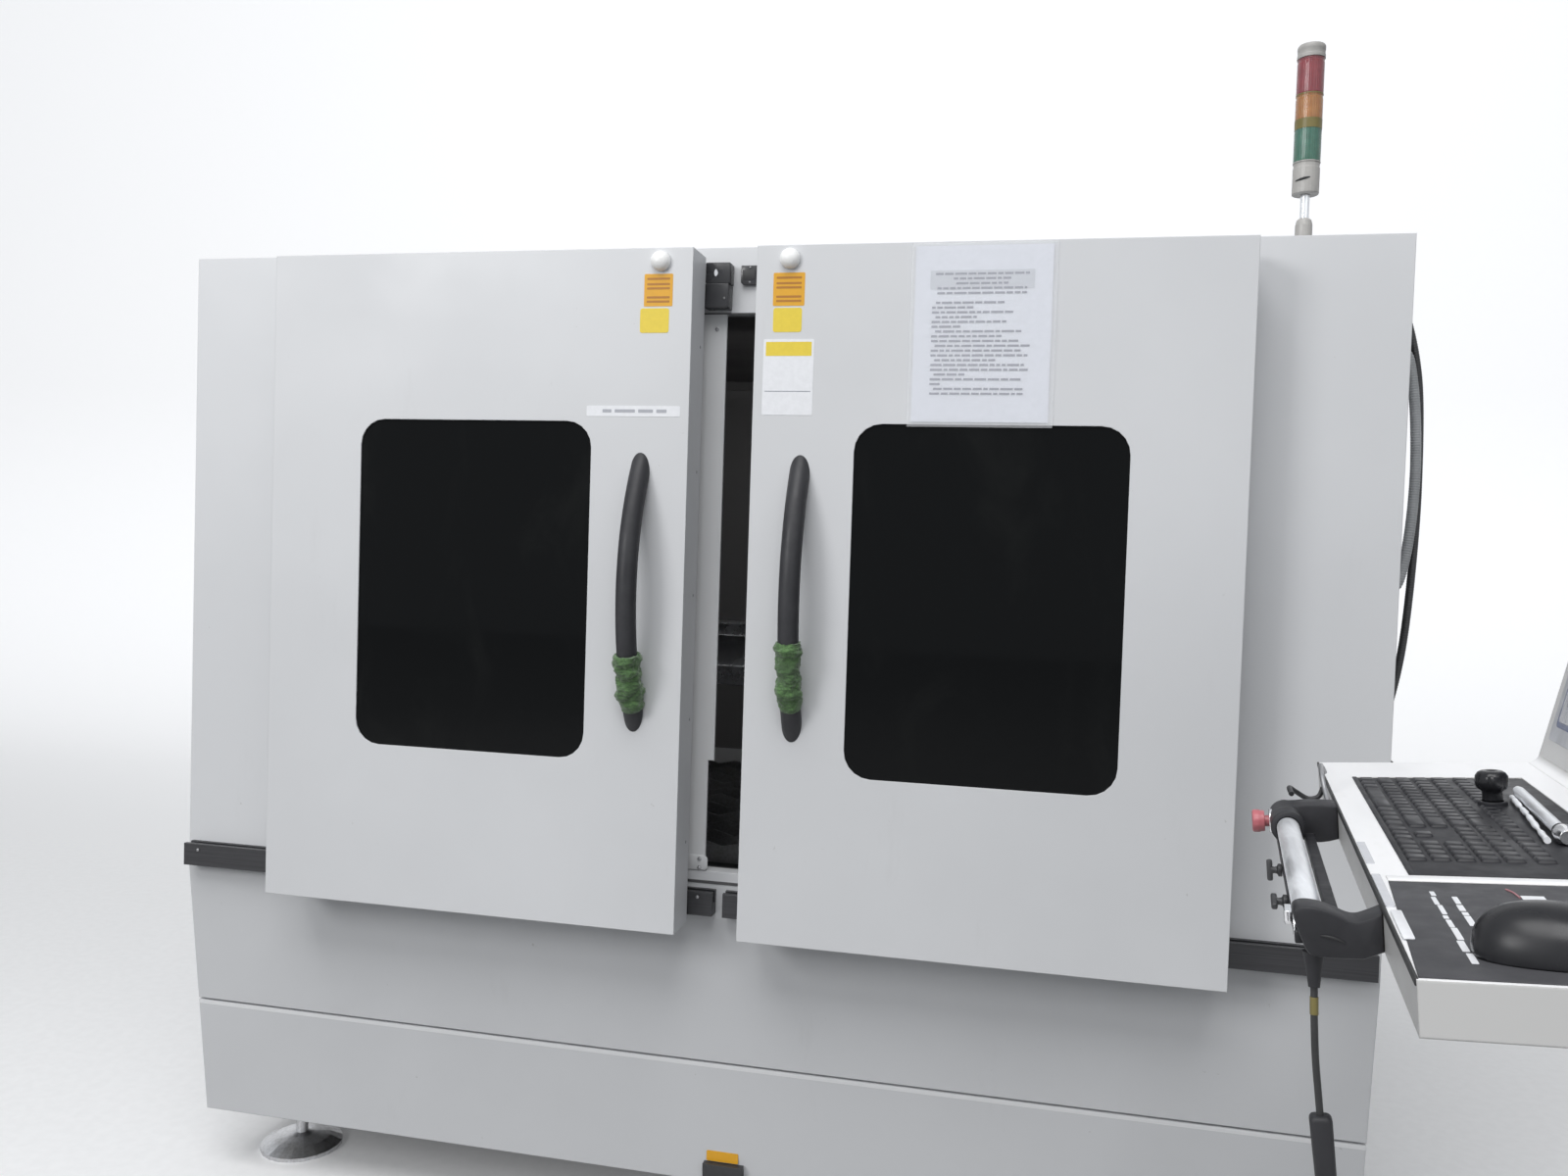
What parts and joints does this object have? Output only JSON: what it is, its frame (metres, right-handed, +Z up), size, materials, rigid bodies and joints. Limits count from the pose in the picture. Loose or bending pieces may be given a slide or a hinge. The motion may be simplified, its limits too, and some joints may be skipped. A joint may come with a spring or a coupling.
{
  "type": "enclosed fiber laser cutting machine",
  "caption": "Enclosed sheet-metal laser cutting cell with two sliding window doors, a gantry over a slat bed, a stack light and a console on a swing arm.",
  "frame": {"origin": "on the floor, at the centre of the front left levelling foot's underside", "axes": "+X to the right seen from the front, +Y from the front to the back, +Z up; the doors face -Y"},
  "size_m": [2.3492, 3.0171, 2.2153],
  "materials": {
    "frame_paint": "satin black paint on welded steel",
    "zinc_steel": "bright zinc plate",
    "panel_paint": "light grey powder coat, semi-gloss",
    "rail_black": "black anodised, satin",
    "black_plastic": "matt black",
    "grey_hose": "grey ribbed conduit",
    "black_hose": "black ribbed conduit",
    "ivory_plastic": "ivory, semi-gloss",
    "aluminium": "machined, satin",
    "green_lens": "translucent green, unlit",
    "amber_lens": "translucent amber, unlit",
    "red_lens": "translucent red, unlit",
    "bed_paint": "dark grey machine paint",
    "dark_glass": "near-black, glossy",
    "green_wrap": "dark green tape padding, matt",
    "white_paint": "white paint, semi-gloss",
    "console_white": "white, semi-gloss, worn at its edge",
    "red_button": "red, satin"
  },
  "bodies": {
    "machine": {"base_frame": "frame_paint", "arm_bracket": "frame_paint", "foot_front_left": "zinc_steel", "foot_front_right": "zinc_steel", "foot_rear_left": "zinc_steel", "foot_rear_right": "zinc_steel", "slat_grid": "zinc_steel", "front_panel": "panel_paint", "skirt_panel": "panel_paint", "side_panel_left": "panel_paint", "side_panel_right": "panel_paint", "rear_panel": "panel_paint", "roof_panel": "panel_paint", "centre_post": "panel_paint", "lower_rail_left": "rail_black", "lower_rail_right": "rail_black", "upper_rail_left": "rail_black", "upper_rail_right": "rail_black", "interlock_switch": "black_plastic", "skirt_latch": "black_plastic", "grey_hose": "grey_hose", "black_hose": "black_hose", "stack_foot": "ivory_plastic", "stack_pole": "aluminium", "stack_base": "ivory_plastic", "stack_lens_green": "green_lens", "stack_lens_amber": "amber_lens", "stack_lens_red": "red_lens", "stack_cap": "ivory_plastic", "bed_frame": "bed_paint", "way_left": "bed_paint", "way_right": "bed_paint"},
    "left_door": {"door_left": "panel_paint", "window_left": "dark_glass", "door_carrier_left": "zinc_steel", "handle_left": "black_plastic", "handle_wrap_left": "green_wrap", "door_knob_left": "white_paint"},
    "right_door": {"door_right": "panel_paint", "window_right": "dark_glass", "door_carrier_right": "zinc_steel", "handle_right": "black_plastic", "handle_wrap_right": "green_wrap", "door_knob_right": "white_paint"},
    "gantry": {"gantry": "aluminium"},
    "carriage": {"x_carriage": "aluminium"},
    "head": {"z_slide": "bed_paint", "cutting_head": "aluminium"},
    "arm": {"swing_arm": "frame_paint"},
    "yoke": {"console_yoke": "frame_paint"},
    "console": {"console_housing": "console_white", "display": "dark_glass", "keyboard": "black_plastic", "mouse": "black_plastic", "grip_frame": "black_plastic", "grip_tube": "aluminium"},
    "jog_button": {"jog_button": "black_plastic"},
    "stop_button": {"stop_button": "red_button"},
    "far_lever": {"wing_lever_far": "black_plastic"},
    "near_lever": {"wing_lever_near": "black_plastic"}
  },
  "joints": [
    {"name": "left_door_slide", "type": "slide", "parent": "machine", "child": "left_door", "axis": [-1, 0, 0], "range_m": [-0.054, 0.22]},
    {"name": "right_door_slide", "type": "slide", "parent": "machine", "child": "right_door", "axis": [1, 0, 0], "range_m": [-0.054, 0.22]},
    {"name": "gantry_travel", "type": "slide", "parent": "machine", "child": "gantry", "axis": [0, 1, 0], "range_m": [-0.56, 0.42]},
    {"name": "carriage_travel", "type": "slide", "parent": "gantry", "child": "carriage", "axis": [1, 0, 0], "range_m": [-0.6, 0.6]},
    {"name": "head_lift", "type": "slide", "parent": "carriage", "child": "head", "axis": [0, 0, 1], "range_m": [-0.035, 0.08]},
    {"name": "arm_swing", "type": "hinge", "parent": "machine", "child": "arm", "pos_m": [2.115, -0.125, 0.913], "axis": [0, 0, 1], "range_deg": [-10, 75]},
    {"name": "console_turn", "type": "hinge", "parent": "arm", "child": "yoke", "pos_m": [1.95764, -1.07724, 0.936], "axis": [0, 0, 1], "range_deg": [-45, 45]},
    {"name": "console_tilt", "type": "hinge", "parent": "yoke", "child": "console", "pos_m": [1.95764, -1.07724, 0.98863], "axis": [0.126, 0.992, 0], "range_deg": [-8, 12]},
    {"name": "jog_press", "type": "slide", "parent": "console", "child": "jog_button", "axis": [0.0882, -0.0112, -0.996], "range_m": [0, 0.005], "stiffness_N_per_m": 800, "springref_m": -0.001},
    {"name": "stop_press", "type": "slide", "parent": "console", "child": "stop_button", "axis": [0.9881, -0.1255, 0.0889], "range_m": [0, 0.004], "stiffness_N_per_m": 1500, "springref_m": -0.001},
    {"name": "far_lever_turn", "type": "hinge", "parent": "console", "child": "far_lever", "pos_m": [1.74218, -1.07003, 1.01114], "axis": [-0.9881, 0.1255, -0.0889], "range_deg": [-60, 60]},
    {"name": "near_lever_turn", "type": "hinge", "parent": "console", "child": "near_lever", "pos_m": [1.72769, -1.18411, 1.01114], "axis": [-0.9881, 0.1255, -0.0889], "range_deg": [-60, 60]}
  ]
}
